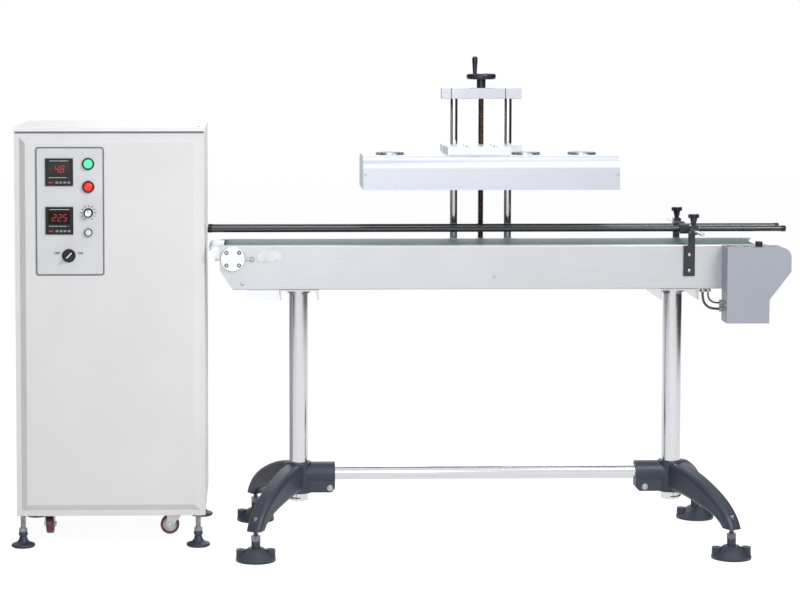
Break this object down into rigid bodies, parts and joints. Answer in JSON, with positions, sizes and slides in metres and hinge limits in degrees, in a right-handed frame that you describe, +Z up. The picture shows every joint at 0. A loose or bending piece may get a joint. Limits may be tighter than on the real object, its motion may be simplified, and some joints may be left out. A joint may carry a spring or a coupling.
{
  "type": "induction cap sealer",
  "caption": "Induction cap sealer: a bench-height belt conveyor on a bipod stand, a sealing head on a hand-screw lift and a free-standing power cabinet.",
  "frame": {"origin": "bottom centre of the whole machine's bounding box, on the floor", "axes": "+X along the belt, from the power cabinet to the drive end; +Y across the belt, away from the operator; +Z up"},
  "size_m": [2.0526, 0.6433, 1.2916],
  "materials": {
    "cabinet_paint": "fine textured powder coat",
    "panel_black": "moulded",
    "lamp_lens": "clear coloured lens",
    "knob_black": "moulded",
    "selector_white": "moulded",
    "foot_black": "fine grained moulding",
    "zinc_steel": "bright zinc plate",
    "caster_grey": "zinc plate",
    "caster_tread": "smooth",
    "gland_black": "moulded",
    "lead_black": "smooth cable jacket",
    "module_metal": "mill finish",
    "stainless": "fine brushed along the length",
    "belt_green": "smooth",
    "roller_steel": "turned",
    "box_steel": "fine brushed",
    "motor_paint": "smooth",
    "casting_slate": "fine textured paint",
    "head_steel": "satin",
    "base_board": "glass-filled board",
    "copper": "drawn copper tube",
    "fan_black": "moulded",
    "lift_aluminium": "satin anodised",
    "ground_steel": "ground and hard chromed",
    "screw_steel": "oiled black steel",
    "wheel_black": "gloss moulding",
    "rail_black": "satin",
    "rod_chrome": "bright"
  },
  "bodies": {
    "machine": {"cabinet_shell": "cabinet_paint", "cabinet_lid": "cabinet_paint", "front_panel": "cabinet_paint", "panel_fittings": "panel_black", "signal_lamps": "lamp_lens", "cabinet_feet": "foot_black", "foot_studs": "zinc_steel", "power_module": "module_metal", "front_side_plate": "stainless", "rear_side_plate": "stainless", "slider_bed": "stainless", "conveyor_belt": "belt_green", "pulley_bearings": "fan_black", "belt_guards": "stainless", "drive_box": "box_steel", "gearmotor": "motor_paint", "motor_lead": "lead_black", "signal_lead": "lead_black", "cable_glands": "gland_black", "legs": "stainless", "bipod_bases": "casting_slate", "stretcher_tube": "stainless", "stand_feet": "foot_black", "guide_columns": "ground_steel", "column_bracket": "lift_aluminium", "top_crossbar": "lift_aluminium", "rail_uprights": "rail_black"},
    "drive_pulley": {"drive_pulley": "roller_steel"},
    "tail_pulley": {"tail_pulley": "roller_steel"},
    "return_roller": {"return_roller": "roller_steel"},
    "lift_screw": {"lead_screw": "screw_steel", "handwheel": "wheel_black"},
    "wheel_handle": {"wheel_handle": "wheel_black"},
    "sealing_head": {"head_housing": "head_steel", "head_base": "base_board", "induction_coil": "copper", "fan_frames": "fan_black", "lift_carriage": "lift_aluminium"},
    "fan_rotor_left": {"fan_rotor_left": "fan_black"},
    "fan_rotor_middle": {"fan_rotor_middle": "fan_black"},
    "fan_rotor_right": {"fan_rotor_right": "fan_black"},
    "caster_fork_front_left": {"caster_fork_front_left": "caster_grey"},
    "caster_wheel_front_left": {"caster_wheel_front_left": "caster_tread"},
    "caster_fork_front_right": {"caster_fork_front_right": "caster_grey"},
    "caster_wheel_front_right": {"caster_wheel_front_right": "caster_tread"},
    "caster_fork_rear_left": {"caster_fork_rear_left": "caster_grey"},
    "caster_wheel_rear_left": {"caster_wheel_rear_left": "caster_tread"},
    "caster_fork_rear_right": {"caster_fork_rear_right": "caster_grey"},
    "caster_wheel_rear_right": {"caster_wheel_rear_right": "caster_tread"},
    "front_rail": {"front_rail": "rail_black", "front_rail_arm": "rod_chrome"},
    "front_star_knob": {"front_star_knob": "knob_black"},
    "rear_rail": {"rear_rail": "rail_black", "rear_rail_arm": "rod_chrome"},
    "rear_star_knob": {"rear_star_knob": "knob_black"},
    "speed_knob": {"speed_knob": "knob_black"},
    "rocker_switch": {"rocker_switch": "knob_black"},
    "power_knob": {"power_knob": "knob_black"},
    "selector_switch": {"selector_switch": "selector_white"},
    "reset_button": {"reset_button": "knob_black"}
  },
  "joints": [
    {"name": "drive_pulley_spin", "type": "hinge", "parent": "machine", "child": "drive_pulley", "pos_m": [0.92825, -0.03025, 0.766], "axis": [0, 1, 0], "continuous": true},
    {"name": "tail_pulley_spin", "type": "hinge", "parent": "machine", "child": "tail_pulley", "pos_m": [-0.43975, -0.03025, 0.766], "axis": [0, 1, 0], "continuous": true},
    {"name": "return_roller_spin", "type": "hinge", "parent": "machine", "child": "return_roller", "pos_m": [0.24425, -0.03025, 0.7167], "axis": [0, 1, 0], "continuous": true},
    {"name": "lift_screw_turn", "type": "hinge", "parent": "machine", "child": "lift_screw", "pos_m": [0.23225, 0.09975, 1], "axis": [0, 0, 1], "range_deg": [-9905, 8105]},
    {"name": "head_lift", "type": "slide", "parent": "machine", "child": "sealing_head", "axis": [0, 0, 1], "range_m": [-0.09, 0.11]},
    {"name": "wheel_handle_spin", "type": "hinge", "parent": "lift_screw", "child": "wheel_handle", "pos_m": [0.21285, 0.0782, 1.26], "axis": [0, 0, 1], "continuous": true},
    {"name": "fan_spin_left", "type": "hinge", "parent": "sealing_head", "child": "fan_rotor_left", "pos_m": [-0.02375, -0.04525, 1.02], "axis": [0, 0, 1], "continuous": true},
    {"name": "fan_spin_middle", "type": "hinge", "parent": "sealing_head", "child": "fan_rotor_middle", "pos_m": [0.33725, -0.04525, 1.02], "axis": [0, 0, 1], "continuous": true},
    {"name": "fan_spin_right", "type": "hinge", "parent": "sealing_head", "child": "fan_rotor_right", "pos_m": [0.48525, -0.04525, 1.02], "axis": [0, 0, 1], "continuous": true},
    {"name": "caster_swivel_front_left", "type": "hinge", "parent": "machine", "child": "caster_fork_front_left", "pos_m": [-0.92675, -0.07225, 0.08], "axis": [0, 0, 1], "continuous": true},
    {"name": "caster_roll_front_left", "type": "hinge", "parent": "caster_fork_front_left", "child": "caster_wheel_front_left", "pos_m": [-0.92675, -0.06025, 0.0515], "axis": [-1, 0, 0], "continuous": true},
    {"name": "caster_swivel_front_right", "type": "hinge", "parent": "machine", "child": "caster_fork_front_right", "pos_m": [-0.59675, -0.07225, 0.08], "axis": [0, 0, 1], "continuous": true},
    {"name": "caster_roll_front_right", "type": "hinge", "parent": "caster_fork_front_right", "child": "caster_wheel_front_right", "pos_m": [-0.60875, -0.07225, 0.0515], "axis": [0, -1, 0], "continuous": true},
    {"name": "caster_swivel_rear_left", "type": "hinge", "parent": "machine", "child": "caster_fork_rear_left", "pos_m": [-0.92675, 0.25675, 0.08], "axis": [0, 0, 1], "continuous": true},
    {"name": "caster_roll_rear_left", "type": "hinge", "parent": "caster_fork_rear_left", "child": "caster_wheel_rear_left", "pos_m": [-0.93275, 0.26714, 0.0515], "axis": [-0.866, -0.5, 0], "continuous": true},
    {"name": "caster_swivel_rear_right", "type": "hinge", "parent": "machine", "child": "caster_fork_rear_right", "pos_m": [-0.59675, 0.25675, 0.08], "axis": [0, 0, 1], "continuous": true},
    {"name": "caster_roll_rear_right", "type": "hinge", "parent": "caster_fork_rear_right", "child": "caster_wheel_rear_right", "pos_m": [-0.59075, 0.26714, 0.0515], "axis": [-0.866, 0.5, 0], "continuous": true},
    {"name": "front_rail_slide", "type": "slide", "parent": "machine", "child": "front_rail", "axis": [0, 1, 0], "range_m": [-0.03, 0.02]},
    {"name": "front_star_knob_turn", "type": "hinge", "parent": "machine", "child": "front_star_knob", "pos_m": [0.76625, -0.14725, 0.87], "axis": [0, 0, 1], "range_deg": [0, 330]},
    {"name": "rear_rail_slide", "type": "slide", "parent": "machine", "child": "rear_rail", "axis": [0, -1, 0], "range_m": [-0.03, 0.02]},
    {"name": "rear_star_knob_turn", "type": "hinge", "parent": "machine", "child": "rear_star_knob", "pos_m": [0.76625, 0.08675, 0.87], "axis": [0, 0, 1], "range_deg": [0, 330]},
    {"name": "speed_knob_turn", "type": "hinge", "parent": "machine", "child": "speed_knob", "pos_m": [0.93325, -0.17025, 0.805], "axis": [0, 0, 1], "range_deg": [-140, 140]},
    {"name": "rocker_tilt", "type": "hinge", "parent": "machine", "child": "rocker_switch", "pos_m": [0.86025, -0.17025, 0.794], "axis": [0, 1, 0], "range_deg": [-16, 0]},
    {"name": "power_knob_turn", "type": "hinge", "parent": "machine", "child": "power_knob", "pos_m": [-0.81625, -0.12625, 0.8865], "axis": [0, 1, 0], "range_deg": [0, 300]},
    {"name": "selector_turn", "type": "hinge", "parent": "machine", "child": "selector_switch", "pos_m": [-0.86775, -0.12625, 0.7745], "axis": [0, 1, 0], "range_deg": [-90, 0]},
    {"name": "reset_press", "type": "slide", "parent": "machine", "child": "reset_button", "axis": [0, 1, 0], "range_m": [0, 0.003], "stiffness_N_per_m": 500, "springref_m": -0.002}
  ],
  "couplings": [
    {"joint": "tail_pulley_spin", "follows": "drive_pulley_spin", "ratio": 1},
    {"joint": "return_roller_spin", "follows": "drive_pulley_spin", "ratio": -2.1667},
    {"joint": "lift_screw_turn", "follows": "head_lift", "rad_per_m": -1570.8}
  ]
}
